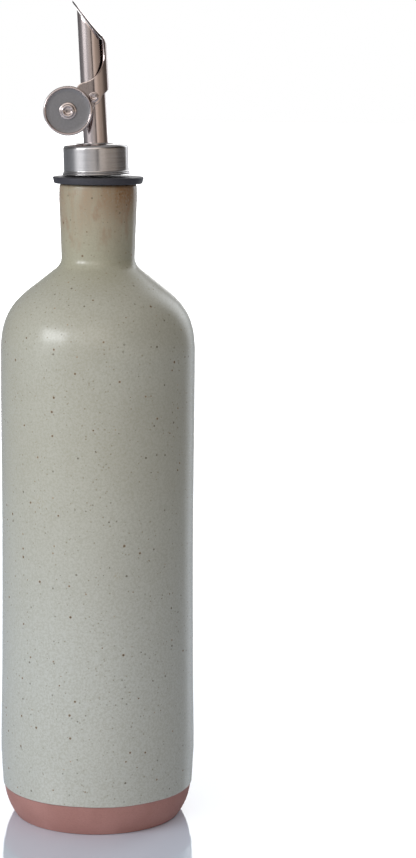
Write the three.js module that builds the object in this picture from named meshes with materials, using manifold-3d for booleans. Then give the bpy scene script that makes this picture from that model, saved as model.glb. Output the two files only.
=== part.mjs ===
// Stoneware oil dispenser with a weighted flap pourer.
// Millimetres, +Z up, origin at the middle of the flat base, the pourer's flap seen edge-on from -Y.

import * as THREE from 'three';
import { mergeVertices } from 'three/addons/utils/BufferGeometryUtils.js';
import Module from 'manifold-3d';

const wasm = await Module();
wasm.setup();

const degree = Math.PI / 180;

// Bottle: a thrown body, a straight shoulder cone and a slightly flared neck
const footRadius = 31.1;
const footEdgeRadius = 0.7;
const clayTopRadius = 36.05;
const clayTopHeight = 12.0;
const claySwellSetback = 0.75;
const claySwellHeight = 5.04;
const glazeThickness = 0.35;
const glazeEdgeHeight = 12.3;
const swellRadius = 36.95;
const swellHeight = 22.0;
const bellyRadius = 37.1;
const bellyHeight = 31.0;
const flankRadius = 36.6;
const flankHeight = 62.0;
const waistRadius = 36.3;
const waistHeight = 112.0;
const chestRadius = 36.5;
const chestHeight = 155.0;
const shoulderRadius = 36.55;
const shoulderHeight = 178.5;
const shoulderSlope = 37.9 * degree;
const shoulderRoundUp = 11.7;
const shoulderRoundAlong = 10.1;
const shoulderConeRadius = 25.2;
const shoulderConeHeight = 202.4;
const neckFilletRadius = 5.3;
const neckRadius = 13.75;
const neckFlareHeight = 226.0;
const neckTopRadius = 14.6;
const neckTopHeight = 236.0;
const rimHeight = 241.2;
const lipRadius = 1.2;
const lipSetback = 0.1;
const socketRadius = 9.4;
const socketDepth = 20.0;

// Stopper: a rubber plug with a collar that sits on the rim
const plugRadius = 9.0;
const plugDepth = 17.0;
const plugTaper = 0.8;
const plugTaperHeight = 2.0;
const collarRadius = 16.9;
const collarUnderRadius = 16.5;
const collarThickness = 2.5;
const collarEdge = 0.45;
const rimGap = 0.1;

// Cap: a turned steel cap with a rolled lower bead and a raised seat for the tube
const capLean = 1.7 * degree;
const capOffset = -0.65;
const capGap = 0.75;
const capRadius = 12.1;
const capBeadRadius = 12.7;
const capBeadHeight = 0.85;
const capBeadRound = 0.25;
const capGrooveDepth = 0.05;
const capGrooveRise = 0.2;
const capGrooveHeight = 0.5;
const capSideHeight = 9.7;
const capCornerRadius = 1.5;
const capCornerSweep = 70 * degree;
const capShoulderHeight = 11.42;
const capSeatRadius = 7.2;
const capSeatHeight = 11.75;
const capSeatRound = 0.35;
const capBoreRadius = 5.15;
const capBoreFloor = 1.6;

// Spout: a steel tube that tapers towards a slanted cut
const spoutLean = 3.1 * degree;
const spoutOffset = 0.15;
const tubeBottom = -9.8;
const tubeBaseRadius = 4.62;
const tubeTipRadius = 4.4;
const tubeTipHeight = 52.0;
const tubeWall = 0.6;

// Slanted cut of the tube, as (across, height) in the side view, hollowed a little just behind the tip
const mouthTop = 51.0;
const mouthFoot = 35.7;
const mouthBack = -5.6;
const mouthEdge = [
  [mouthBack, mouthTop], [-4.4, 48.7], [-3.4, 46.95], [-2.4, 45.7],
  [0.3, 42.2], [2.4, 39.5], [5.4, mouthFoot],
];

// Flap: one bent sheet of steel, a half-round saddle with two ears and an oval lid
const sheet = 0.6;
const saddleRadius = 5.9;
const lidAngle = 37.9 * degree;
const lidCornerAcross = 5.9;
const lidCornerHeight = 37.01;
const lidBendRadius = 5.0;
const lidStart = -1.5;
const lidLength = 22.0;
const lidSpareWidth = 0.4;
const lidArch = 0.9;
const lidArchLength = 20.0;
const pivotHeight = 16.74;
const pivotHoleRadius = 1.35;
const pivotLobeRadius = 2.85;
const pivotLobeFrom = -75 * degree;
const pivotLobeTo = -20 * degree;

// Front edge of the saddle and the ears, and the ears' lower edge, as (across, height) in the side view
const saddleTop = 40.5;
const saddleFront = 7.0;
const frontEdge = [
  [4.3, saddleTop], [4.6, 37.0], [4.75, 33.8], [4.6, 30.3], [4.0, 28.05],
  [2.45, 25.6], [0.15, 23.55], [-2.1, 22.55], [-4.5, 21.9], [-5.8, 20.9],
];
const lowerEdge = [[3.4, 17.3], [4.7, 18.3], [5.9, 19.55], [saddleFront, 20.6]];

// Counterweight: a pair of discs on one rivet through both ears
const weightAcross = -9.6;
const weightDrop = 4.5;
const weightRadius = 9.05;
const weightThickness = 2.6;
const weightBackRound = 0.95;
const weightFrontRound = 0.45;
const weightRimInner = 8.3;
const weightRecess = 0.35;
const weightRecessRadius = 8.05;
const weightLobeRadius = 7.6;
const weightLobeFrom = 55 * degree;
const weightLobeTo = 335 * degree;

// Rivets
const pinRadius = 1.0;
const rivetGap = 0.3;
const pivotHeadRadius = 1.93;
const pivotHeadHeight = 0.65;
const weightHeadRadius = 3.1;
const weightHeadHeight = 0.75;

// A rivet's head from its edge to its middle, as shares of the head's radius and height
const headProfile = [
  [1, 0], [1, 0.3], [0.76, 0.42], [0.72, 0.9],
  [0.62, 1], [0.5, 0.9], [0.42, 0.5], [0, 0.42],
];

// Facets round each kind of surface
const bottleFacets = 56;
const capFacets = 48;
const tubeFacets = 40;
const weightFacets = 40;
const rivetFacets = 20;

// Sizes of the cutters that reach past everything they trim
const cutterReach = 25.0;
const cutterWidth = 14.0;
const cutterHeight = 60.0;
const cutterSpare = 1.0;

const glazedStoneware = new THREE.MeshStandardMaterial({ color: 0xa9aa9e, roughness: 0.42, metalness: 0 });
const blackRubber = new THREE.MeshStandardMaterial({ color: 0x2b2a2e, roughness: 0.6, metalness: 0 });
const brushedSteel = new THREE.MeshStandardMaterial({ color: 0xb5b2b0, roughness: 0.35, metalness: 1 });
const polishedSteel = new THREE.MeshStandardMaterial({ color: 0xb8b0ac, roughness: 0.18, metalness: 1 });
const weightSteel = new THREE.MeshStandardMaterial({ color: 0x77777a, roughness: 0.45, metalness: 0.9 });

const point = (x, y) => new THREE.Vector2(x, y);
const points = (pairs) => pairs.map(([x, y]) => point(x, y));

// Points along an arc about a centre, from one angle to another
function arc(centre, radius, from, to, steps) {
  return Array.from({ length: steps + 1 }, (_, i) => {
    const angle = from + (to - from) * i / steps;
    return point(centre.x + radius * Math.cos(angle), centre.y + radius * Math.sin(angle));
  });
}

// Welds shared corners, drops faces with no area and turns the faces outwards
function closedBody(geometry) {
  const bare = geometry.index ? geometry.toNonIndexed() : geometry.clone();
  bare.deleteAttribute('normal');
  bare.deleteAttribute('uv');
  const merged = mergeVertices(bare, 1e-4);
  const position = merged.attributes.position;
  const corner = (i) => new THREE.Vector3().fromBufferAttribute(position, i);
  const faces = [];
  let volume = 0;
  for (let i = 0; i < merged.index.count; i += 3) {
    const [a, b, c] = [0, 1, 2].map((k) => merged.index.getX(i + k));
    if (a === b || b === c || c === a) continue;
    faces.push([a, b, c]);
    volume += corner(a).dot(corner(b).cross(corner(c)));
  }
  merged.setIndex(faces.flatMap(([a, b, c]) => (volume < 0 ? [a, c, b] : [a, b, c])));
  return merged;
}

function toSolid(geometry) {
  const body = closedBody(geometry);
  return new wasm.Manifold(new wasm.Mesh({
    numProp: 3,
    vertProperties: new Float32Array(body.attributes.position.array),
    triVerts: new Uint32Array(body.index.array),
  }));
}

function toGeometry(solid) {
  const cut = solid.getMesh();
  const geometry = new THREE.BufferGeometry();
  geometry.setAttribute('position', new THREE.BufferAttribute(new Float32Array(cut.vertProperties), 3));
  geometry.setIndex(Array.from(cut.triVerts));
  return geometry;
}

// Turns a profile of (radius, height) points about the Z axis
function turned(profile, facets) {
  return closedBody(new THREE.LatheGeometry(profile, facets).rotateX(Math.PI / 2));
}

// Extrudes an outline in the XZ plane along Y, centred on y = 0
function slab(outline, width) {
  const shape = new THREE.Shape(outline);
  const geometry = new THREE.ExtrudeGeometry(shape, { depth: width, bevelEnabled: false });
  return closedBody(geometry.rotateX(Math.PI / 2).translate(0, width / 2, 0));
}

// Extrudes an outline in the XY plane upwards
function column(outline, bottom, height) {
  const shape = new THREE.Shape(outline);
  const geometry = new THREE.ExtrudeGeometry(shape, { depth: height, bevelEnabled: false });
  return closedBody(geometry.translate(0, 0, bottom));
}

function place(name, geometry, material, parent) {
  const mesh = new THREE.Mesh(geometry, material);
  mesh.name = name;
  parent.add(mesh);
  return mesh;
}

// Foot: a small rounded edge, then bare clay that swells up to the glaze line
function footProfile() {
  const edge = arc(point(footRadius, footEdgeRadius), footEdgeRadius, -90 * degree, -30 * degree, 2);
  const start = edge[edge.length - 1];
  const swell = new THREE.QuadraticBezierCurve(
    start, point(clayTopRadius - claySwellSetback, claySwellHeight), point(clayTopRadius, clayTopHeight));
  return [point(0, 0), ...edge, ...swell.getPoints(5).slice(1)];
}

// Body wall from the glaze line through the belly and the waist to the shoulder
function wallProfile() {
  const wall = new THREE.SplineCurve([
    point(clayTopRadius + glazeThickness, glazeEdgeHeight),
    point(swellRadius, swellHeight),
    point(bellyRadius, bellyHeight),
    point(flankRadius, flankHeight),
    point(waistRadius, waistHeight),
    point(chestRadius, chestHeight),
    point(shoulderRadius, shoulderHeight),
  ]);
  return wall.getPoints(10);
}

// Shoulder: one round from the upright wall on to the cone, then the cone up to the neck's fillet
function shoulderProfile() {
  const coneUp = point(-Math.cos(shoulderSlope), Math.sin(shoulderSlope));
  const coneStart = point(shoulderConeRadius, shoulderConeHeight);
  const round = new THREE.CubicBezierCurve(
    point(shoulderRadius, shoulderHeight), point(shoulderRadius, shoulderHeight + shoulderRoundUp),
    coneStart.clone().addScaledVector(coneUp, -shoulderRoundAlong), coneStart);
  return round.getPoints(8).slice(1);
}

// Neck: a fillet out of the cone, a slight flare and a rounded lip
function neckProfile() {
  const turn = 90 * degree - shoulderSlope;
  const centreRadius = neckRadius + neckFilletRadius;
  const coneRise = (radius) => shoulderConeHeight + (shoulderConeRadius - radius) * Math.tan(shoulderSlope);
  const centreHeight = coneRise(centreRadius) + neckFilletRadius / Math.cos(shoulderSlope);
  const filletCentre = point(centreRadius, centreHeight);
  const fillet = arc(filletCentre, neckFilletRadius, 180 * degree + turn, 180 * degree, 4);
  const flare = point((neckRadius + neckTopRadius) / 2, neckFlareHeight);
  const lipCentre = point(neckTopRadius - lipSetback - lipRadius, rimHeight - lipRadius);
  const lip = arc(lipCentre, lipRadius, 0, 90 * degree, 3);
  return [...fillet, flare, point(neckTopRadius, neckTopHeight), ...lip];
}

function makeBottle() {
  const socketFloor = rimHeight - socketDepth;
  const socket = [point(socketRadius, rimHeight), point(socketRadius, socketFloor), point(0, socketFloor)];
  const outside = [...footProfile(), ...wallProfile(), ...shoulderProfile(), ...neckProfile()];
  return turned([...outside, ...socket], bottleFacets);
}

// The stopper's own zero is the underside of its collar
function makeStopper() {
  const topCentre = point(collarRadius - collarEdge, collarThickness - collarEdge);
  const top = arc(topCentre, collarEdge, 0, 90 * degree, 3);
  const bottom = arc(point(collarUnderRadius - collarEdge, collarEdge), collarEdge, -90 * degree, 0, 3);
  const plug = [
    point(0, -plugDepth),
    point(plugRadius - plugTaper, -plugDepth),
    point(plugRadius, plugTaperHeight - plugDepth),
    point(plugRadius, 0),
  ];
  return turned([...plug, ...bottom, ...top, point(0, collarThickness)], capFacets);
}

// The cap's own zero is its underside
function makeCap() {
  const bead = [
    point(capBeadRadius - capBeadRound, 0),
    point(capBeadRadius, capBeadRound),
    point(capBeadRadius, capBeadHeight - capGrooveRise),
    point(capRadius - capGrooveDepth, capBeadHeight + capGrooveRise),
    point(capRadius, capBeadHeight + capGrooveHeight),
  ];
  const cornerCentre = point(capRadius - capCornerRadius, capSideHeight);
  const corner = arc(cornerCentre, capCornerRadius, 0, capCornerSweep, 4);
  const seat = [
    point(capSeatRadius + capSeatRound, capShoulderHeight),
    point(capSeatRadius, capSeatHeight),
    point(capBoreRadius, capSeatHeight),
    point(capBoreRadius, capBoreFloor),
    point(0, capBoreFloor),
  ];
  return turned([point(0, 0), ...bead, ...corner, ...seat], capFacets);
}

const tubeRadius = (height) => (
  THREE.MathUtils.mapLinear(height, 0, tubeTipHeight, tubeBaseRadius, tubeTipRadius));

// All that the slanted cut takes away above its edge
function mouthCutter() {
  const edge = new THREE.SplineCurve(points(mouthEdge)).getPoints(18);
  const above = points([[cutterReach, mouthFoot], [cutterReach, cutterHeight], [mouthBack, cutterHeight]]);
  return slab([...edge, ...above], cutterWidth);
}

function pinHole(x, z) {
  const hole = new THREE.CylinderGeometry(pivotHoleRadius, pivotHoleRadius, cutterReach, rivetFacets);
  return toSolid(hole.translate(x, 0, z));
}

// The spout's own zero is on the tube's axis, level with the cap's seat
function makeSpout() {
  const cone = (wall, spare) => toSolid(turned([
    point(0, tubeBottom - spare),
    point(tubeRadius(tubeBottom) - wall, tubeBottom - spare),
    point(tubeRadius(tubeTipHeight) - wall, tubeTipHeight + spare),
    point(0, tubeTipHeight + spare),
  ], tubeFacets));
  const tube = cone(0, 0).subtract(cone(tubeWall, cutterSpare));
  return toGeometry(tube.subtract(toSolid(mouthCutter())).subtract(pinHole(0, pivotHeight)));
}

// Side outline of the saddle and the ears: a concave front edge that sweeps down to the weight's lobe
function saddleOutline() {
  const front = new THREE.SplineCurve(points(frontEdge)).getPoints(24);
  const weightCentre = point(weightAcross, pivotHeight - weightDrop);
  const weightLobe = arc(weightCentre, weightLobeRadius, weightLobeFrom, weightLobeTo, 18);
  const pivotLobe = arc(point(0, pivotHeight), pivotLobeRadius, pivotLobeFrom, pivotLobeTo, 3);
  return [...front, ...weightLobe, ...pivotLobe, ...points(lowerEdge), point(saddleFront, saddleTop)];
}

// Plan of the saddle: straight ears and a half-round back about the tube's axis
function saddlePlan(radius) {
  const round = arc(point(0, 0), radius, -90 * degree, 90 * degree, 20);
  return [point(-cutterReach, -radius), ...round, point(-cutterReach, radius)];
}

// Side outline that the whole flap stays inside: the lid's top line, the bend and the upright back
function flapLimit() {
  const lidUp = point(-Math.sin(lidAngle), Math.cos(lidAngle));
  const corner = point(lidCornerAcross, lidCornerHeight);
  const reach = lidBendRadius * Math.tan(lidAngle / 2);
  const bendCentre = point(lidCornerAcross - lidBendRadius, lidCornerHeight - reach);
  const bend = arc(bendCentre, lidBendRadius, 0, lidAngle, 5);
  const lidEnd = corner.clone().addScaledVector(lidUp, lidLength);
  return [point(-cutterReach, 0), point(lidCornerAcross, 0), ...bend, lidEnd, point(-cutterReach, lidEnd.y)];
}

// Lid: a sheet arched across most of its length and flat at its tip, with +Y up the lid from its low corner
function lidSheet() {
  const lid = new THREE.BoxGeometry(2 * (saddleRadius + lidSpareWidth), lidLength, sheet, 10, 9, 1);
  lid.translate(0, lidStart + lidLength / 2, -sheet / 2);
  const position = lid.attributes.position;
  for (let i = 0; i < position.count; i += 1) {
    const across = position.getX(i) / saddleRadius;
    const arch = lidArch * Math.max(0, 1 - position.getY(i) / lidArchLength);
    position.setZ(i, position.getZ(i) - arch * across ** 2);
  }
  return lid;
}

// The sheet is stood on its slant and trimmed to the oval that the saddle's round makes there
function lidSolid() {
  const up = new THREE.Vector3(-Math.sin(lidAngle), 0, Math.cos(lidAngle));
  const out = new THREE.Vector3(Math.cos(lidAngle), 0, Math.sin(lidAngle));
  const across = new THREE.Vector3().crossVectors(up, out);
  const stand = new THREE.Matrix4().makeBasis(across, up, out);
  stand.setPosition(lidCornerAcross, 0, lidCornerHeight);
  const round = arc(point(0, 0), saddleRadius, 0, 360 * degree, 48).slice(0, -1);
  return toSolid(lidSheet().applyMatrix4(stand)).intersect(toSolid(column(round, 0, cutterHeight)));
}

function makeFlap() {
  const outside = toSolid(column(saddlePlan(saddleRadius), 0, cutterHeight));
  const innerPlan = saddlePlan(saddleRadius - sheet);
  const inside = toSolid(column(innerPlan, -cutterSpare, cutterHeight + 2 * cutterSpare));
  const saddle = outside.subtract(inside).intersect(toSolid(slab(saddleOutline(), cutterWidth)));
  const whole = saddle.add(lidSolid()).intersect(toSolid(slab(flapLimit(), cutterWidth)));
  const pierced = whole.subtract(pinHole(0, pivotHeight));
  return toGeometry(pierced.subtract(pinHole(weightAcross, pivotHeight - weightDrop)));
}

// A disc with a rounded back edge and a raised rim round a shallow face; its axis is Z and its back at 0
function weightDisc() {
  const front = weightThickness;
  const face = front - weightRecess;
  const backCentre = point(weightRadius - weightBackRound, weightBackRound);
  const back = arc(backCentre, weightBackRound, -90 * degree, 0, 4);
  const rimCentre = point(weightRadius - weightFrontRound, front - weightFrontRound);
  const rim = arc(rimCentre, weightFrontRound, 0, 90 * degree, 3);
  const bore = pivotHoleRadius;
  return turned([
    point(bore, 0),
    ...back,
    ...rim,
    point(weightRimInner, front),
    point(weightRecessRadius, face),
    point(bore, face),
    point(bore, 0),
  ], weightFacets);
}

// A rivet along Z with two alike heads, each a raised ring round a dimple
function rivet(grip, headRadius, headHeight) {
  const half = grip / 2;
  const head = headProfile.map(([across, up]) => point(headRadius * across, half + headHeight * up));
  const lower = head.map((p) => point(p.x, -p.y)).reverse();
  return turned([...lower, point(pinRadius, -half), point(pinRadius, half), ...head], rivetFacets);
}

const alongY = (geometry) => geometry.rotateX(Math.PI / 2);

const dispenser = new THREE.Group();

place('bottle', makeBottle(), glazedStoneware, dispenser);
const stopper = place('stopper', makeStopper(), blackRubber, dispenser);
stopper.position.z = rimHeight + rimGap;

const capGroup = new THREE.Group();
capGroup.position.set(capOffset, 0, rimHeight + rimGap + collarThickness + capGap);
capGroup.rotation.y = -capLean;
dispenser.add(capGroup);
place('cap', makeCap(), brushedSteel, capGroup);

const spoutGroup = new THREE.Group();
spoutGroup.position.set(spoutOffset, 0, capSeatHeight);
spoutGroup.rotation.y = capLean - spoutLean;
capGroup.add(spoutGroup);
place('spout', makeSpout(), polishedSteel, spoutGroup);

// Rivet heads and discs both start a small gap outside the ears, whose outer faces are at saddleRadius
const discBack = saddleRadius + rivetGap;
const pivotPin = alongY(rivet(2 * discBack, pivotHeadRadius, pivotHeadHeight));
const pivotRivet = place('pivot_rivet', pivotPin, polishedSteel, spoutGroup);
pivotRivet.position.z = pivotHeight;

place('flap', makeFlap(), polishedSteel, spoutGroup);

const weightGroup = new THREE.Group();
weightGroup.position.set(weightAcross, 0, pivotHeight - weightDrop);
spoutGroup.add(weightGroup);
for (const [name, side] of [['weight_near', -1], ['weight_far', 1]]) {
  const disc = place(name, weightDisc(), weightSteel, weightGroup);
  disc.rotation.x = -side * Math.PI / 2;
  disc.position.y = side * discBack;
}
const discFace = discBack + weightThickness - weightRecess;
const weightPin = alongY(rivet(2 * (discFace + rivetGap), weightHeadRadius, weightHeadHeight));
place('weight_rivet', weightPin, polishedSteel, weightGroup);

export default dispenser;
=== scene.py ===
import math
from functools import cache

import bmesh
import bpy
from mathutils import Matrix, Vector, noise
from mathutils.geometry import delaunay_2d_cdt


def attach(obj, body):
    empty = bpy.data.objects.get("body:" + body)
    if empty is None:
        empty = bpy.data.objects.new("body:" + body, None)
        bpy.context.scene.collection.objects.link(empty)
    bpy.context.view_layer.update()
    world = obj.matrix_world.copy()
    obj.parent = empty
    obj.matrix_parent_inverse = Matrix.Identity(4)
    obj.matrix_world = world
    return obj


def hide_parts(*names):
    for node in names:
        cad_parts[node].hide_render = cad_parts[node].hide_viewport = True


# Sizes below are in millimetres and angles in degrees, as they are in the solids
MM = 0.001

# Bottle
FOOT_RADIUS = 31.1
FOOT_EDGE_RADIUS = 0.7
BASE_RINGS = (0.0, 10.0, 20.0, 28.0)
CLAY_TOP_RADIUS = 36.05
CLAY_TOP_HEIGHT = 12.0
CLAY_SWELL = (35.3, 5.04)
GLAZE_THICKNESS = 0.35
GLAZE_EDGE_RADIUS = 0.8 * GLAZE_THICKNESS
WALL_START_HEIGHT = CLAY_TOP_HEIGHT + 0.3
WALL = [(36.95, 22.0), (37.1, 31.0), (36.6, 62.0), (36.3, 112.0), (36.5, 155.0), (36.55, 178.5)]
SHOULDER_SLOPE = 37.9
SHOULDER_ROUND_UP = 11.7
SHOULDER_ROUND_ALONG = 10.1
SHOULDER_CONE = (25.2, 202.4)
NECK_FILLET_RADIUS = 5.3
NECK_RADIUS = 13.75
NECK_MIDDLE_HEIGHT = 226.0
NECK_TOP_RADIUS = 14.6
NECK_TOP_HEIGHT = 236.0
RIM_HEIGHT = 241.2
LIP_RADIUS = 1.2
LIP_INSET = 0.1
SOCKET_RADIUS = 9.4
SOCKET_DEPTH = 20.0
BOTTLE_SEGMENTS = 288

# Traces that throwing and glazing by hand leave on the bottle
OUT_OF_ROUND = 0.05
RIPPLE = 0.02
GLAZE_LINE_WANDER = 0.16
GLAZE_LINE_TREMBLE = 0.05
GLAZE_LINE_REACH = 3.0

# Stopper
PLUG_RADIUS = 9.0
PLUG_DEPTH = 17.0
PLUG_CHAMFER = (0.8, 2.0)
COLLAR_RADIUS = 16.9
COLLAR_UNDER_RADIUS = 16.5
COLLAR_THICKNESS = 2.5
COLLAR_EDGE_RADIUS = 0.45
COLLAR_RINGS = (13.2, 8.0, 0.0)
COLLAR_BASE = 241.3

# Cap
CAP_BASE = (-0.65, 0.0, 244.55)
CAP_LEAN = 1.7
CAP_RADIUS = 12.1
CAP_BEAD_RADIUS = 12.7
CAP_BEAD_ROUND = 0.34
CAP_BEAD_HEIGHT = 0.36
CAP_GROOVE = [(12.36, 0.8), (12.34, 0.86)]
CAP_STEP = (12.28, 1.08)
CAP_STEP_ROUND = 0.2
CAP_SIDE_RINGS = (1.46, 1.7, 5.0, 9.0)
CAP_SIDE_HEIGHT = 9.7
CAP_CORNER_RADIUS = 1.5
CAP_SHOULDER_HEIGHT = 11.3
CAP_SEAT_RADIUS = 7.2
CAP_SEAT_HEIGHT = 11.75
CAP_SEAT_ROUND = 0.2
CAP_BORE_RADIUS = 5.15
CAP_BORE_FLOOR = 1.6

# Spout, in its own frame on the tube's axis
SPOUT_BASE = (0.15, 0.0, 11.75)
SPOUT_LEAN = 1.4
TUBE_BOTTOM = -9.8
TUBE_BASE_RADIUS = 4.62
TUBE_TIP_RADIUS = 4.4
TUBE_TIP_HEIGHT = 52.0
TUBE_WALL = 0.6
TUBE_SEGMENTS = 160
TUBE_ROWS = 40
MOUTH_MIDDLE_HEIGHT = 42.0
MOUTH_EDGE = [(-5.6, 51.0), (-4.4, 48.7), (-3.4, 46.95), (-2.4, 45.7), (0.3, 42.2), (2.4, 39.5), (5.4, 35.7)]

# Rounded rim of the mouth: shares of the way in through the wall, each with its height against the cut,
# and how far below the cut the plain wall ends
MOUTH_RIM = [(0.05, -0.06), (0.16, -0.01), (0.5, 0.0), (0.84, -0.01), (0.95, -0.06)]
MOUTH_RIM_DROP = 0.18

# Flap
SHEET = 0.6
SHEET_EDGE_ROUND = 0.11
SHEET_SPACING = 0.45
MERGE_DISTANCE = 1e-4
SADDLE_RADIUS = 5.9
LID_ANGLE = 37.9
LID_CORNER_HEIGHT = 37.01
LID_BEND_RADIUS = 5.0
LEAST_SETBACK = 0.12
LID_ARCH = 0.9
LID_ARCH_LENGTH = 20.0
PIVOT_HEIGHT = 16.74
PIN_HOLE_RADIUS = 1.35
PIVOT_LOBE_RADIUS = 2.85
PIVOT_LOBE_SWEEP = (-75, -20)
FRONT_EDGE = [
    (4.3, 40.5), (4.6, 37.0), (4.75, 33.8), (4.6, 30.3), (4.0, 28.05),
    (2.45, 25.6), (0.15, 23.55), (-2.1, 22.55), (-4.5, 21.9), (-5.8, 20.9),
]
LOWER_EDGE = [(3.4, 17.3), (4.7, 18.3), (5.9, 19.55)]
STRIP_STEPS = 28
LID_FREE_STEPS = 72
LID_RINGS = 26
BEND_STEPS = 7

# Counterweight
WEIGHT_ACROSS = -9.6
WEIGHT_DROP = 4.5
WEIGHT_HEIGHT = PIVOT_HEIGHT - WEIGHT_DROP
WEIGHT_RADIUS = 9.05
WEIGHT_THICKNESS = 2.6
WEIGHT_RECESS = 0.35
WEIGHT_BACK_ROUND = 0.95
WEIGHT_FRONT_ROUND = 0.5
WEIGHT_DISH_EDGE = (8.42, 8.2, 8.12, 7.9)
WEIGHT_DULL_RADIUS = 7.95
WEIGHT_DULL_ABOVE = 1.0
WEIGHT_FACE_RINGS = (6.6, 5.0, 3.9, PIN_HOLE_RADIUS)
WEIGHT_LOBE_RADIUS = 7.6
WEIGHT_LOBE_SWEEP = (55, 335)

# Rivets, with their heads' radius and height, and a head's section as shares of these
PIN_RADIUS = 1.0
RIVET_GAP = 0.3
PIVOT_HEAD = (1.93, 0.65)
WEIGHT_HEAD = (3.1, 0.75)
HEAD_SECTION = [
    (1.0, 0.0), (1.0, 0.22), (0.9, 0.4), (0.79, 0.48), (0.72, 0.85),
    (0.62, 1.0), (0.5, 0.9), (0.42, 0.5), (0.22, 0.38), (0.0, 0.34),
]

# Heights in metres over which the glaze changes, the first pair where the painted light from the floor fades
# into sage, and its burnt spot by the rim in millimetres
PAINTED_FLOOR_LIGHT_TO_SAGE = (0.05, 0.15)
SAGE_TO_NECK = (0.198, 0.216)
RUST_UP_NECK = (0.206, 0.232)
WARM_UP_NECK = (0.210, 0.236)
BURNT_SPOT = (10.5, -10.0, 241.0)

# Camera where the photograph was taken from: its place in metres, its angles and its lens
EYE = (0.0, -0.85977, 0.28280)
YAW, PITCH, ROLL = 2.77, 8.844, 0.471
LENS, SENSOR_WIDTH = 96.5, 36

# Floor, in metres
FLOOR_REACH = 12.0
FLOOR_DROP = 0.0001

# Brightness of the studio round the bottle, low down and higher up, in pairs with the side that it is on.
# Side 0 is towards the camera, and sides are positive to its right.
LOW_STUDIO = [
    (-180, 0.35), (-156, 0.3), (-148, 0.2), (-125, 0.2), (-110, 0.28), (-97, 0.36), (-86, 0.55),
    (-76, 1.5), (-66, 1.75), (-50, 1.4), (-40, 0.8), (-12, 0.72), (-3, 0.5), (1, 0.4), (3.5, 0.1), (8, 0.1),
    (14, 0.9), (28, 0.85), (38, 0.62), (50, 0.5), (60, 0.46), (72, 0.38), (85, 0.2), (100, 0.12), (127, 0.12),
    (137, 1.5), (148, 1.6), (156, 0.5), (180, 0.35),
]
HIGH_STUDIO = [
    (-180, 0.4), (-150, 0.3), (-110, 0.12), (-85, 0.25), (-60, 0.75), (-35, 1.3), (-5, 1.6), (8, 1.3),
    (22, 0.5), (42, 0.08), (90, 0.03), (122, 0.05), (134, 1.6), (140, 2.3), (150, 2.3), (156, 0.7),
    (165, 0.4), (180, 0.4),
]
OVERHEAD = 0.4

# Where one kind of light gives way to the next, as the sine of its elevation
LOW_TO_HIGH = (0.06, 0.22)
HIGH_TO_OVERHEAD = (0.5, 0.85)

# Tint of that light, as the share of red added and of blue taken away. Past LAST_WARM_SIDE it is cool again.
COOL_SIDE, COOL = -45, -0.035
WARM_SIDE, WARM = 40, 0.15
LAST_WARM_SIDE = 130

# Upright strip of glow behind the bottle that whitens the floor: its brightness, then the side that it is on,
# its half width, its top and how far it fades out, in degrees
GLOW = 2.7
GLOW_SIDE = 3
GLOW_HALF_WIDTH = 9
GLOW_TOP = 22
GLOW_FADE = 4

# Softboxes, aimed at the bottle's shoulder
SOFTBOX_AIM = (0, 0, 0.188)
SOFTBOX_COLOUR = (0.93, 0.96, 1.0)

WHITE = (1, 1, 1, 1)

# Places of the colour sockets on a Mix node
MIX_A, MIX_B, MIX_RESULT = 6, 7, 2


def sin(degrees):
    return math.sin(math.radians(degrees))


def cos(degrees):
    return math.cos(math.radians(degrees))


def tan(degrees):
    return math.tan(math.radians(degrees))


def arc(centre, radius, start, end, steps):
    """Points round a centre from one angle to another."""
    angles = [start + (end - start) * i / steps for i in range(steps + 1)]
    return [(centre[0] + radius * cos(a), centre[1] + radius * sin(a)) for a in angles]


def spline_value(t, before, start, end, after):
    """Cubic from start (t 0) to end (t 1), sloped at each as the line between the points beside it."""
    leave, arrive = (end - before) / 2, (after - start) / 2
    cube = 2 * start - 2 * end + leave + arrive
    square = -3 * start + 3 * end - 2 * leave - arrive
    return cube * t ** 3 + square * t ** 2 + leave * t + start


def spline(points, steps):
    """A smooth curve through the points, sampled evenly in its own parameter."""
    made = []
    last = len(points) - 1
    for i in range(steps + 1):
        whole = min(int(i * last / steps), last - 1)
        t = i * last / steps - whole
        around = [points[max(0, min(last, whole + k))] for k in (-1, 0, 1, 2)]
        made.append(tuple(spline_value(t, *values) for values in zip(*around)))
    return made


def curve_at(points, share):
    """Point of a Bezier curve over its control points."""
    while len(points) > 1:
        points = [tuple(a + (b - a) * share for a, b in zip(p, q)) for p, q in zip(points, points[1:])]
    return points[0]


def bezier(points, steps):
    """A Bezier curve sampled evenly in its own parameter."""
    return [curve_at(points, i / steps) for i in range(steps + 1)]


def resampled(points, spacing):
    """The same line with points added so that none are further apart than spacing."""
    made = [points[0]]
    for (x0, z0), (x1, z1) in zip(points, points[1:]):
        steps = max(1, math.ceil(math.dist((x0, z0), (x1, z1)) / spacing))
        made += [(x0 + (x1 - x0) * k / steps, z0 + (z1 - z0) * k / steps) for k in range(1, steps + 1)]
    return made


def cap_place():
    """Matrix of the cap's frame, in metres."""
    return Matrix.Translation(Vector(CAP_BASE) * MM) @ Matrix.Rotation(math.radians(-CAP_LEAN), 4, "Y")


def spout_place():
    """Matrix of the spout's frame, in metres."""
    turn = Matrix.Rotation(math.radians(-SPOUT_LEAN), 4, "Y")
    return cap_place() @ Matrix.Translation(Vector(SPOUT_BASE) * MM) @ turn


def new_piece(name, mesh, place, body, nodes):
    """Puts a mesh in the scene as a piece that stands for its solids and moves with their body."""
    mesh.transform(place)
    piece = bpy.data.objects.new(name, mesh)
    bpy.context.scene.collection.objects.link(piece)
    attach(piece, body)
    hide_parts(*nodes)
    return piece


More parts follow.
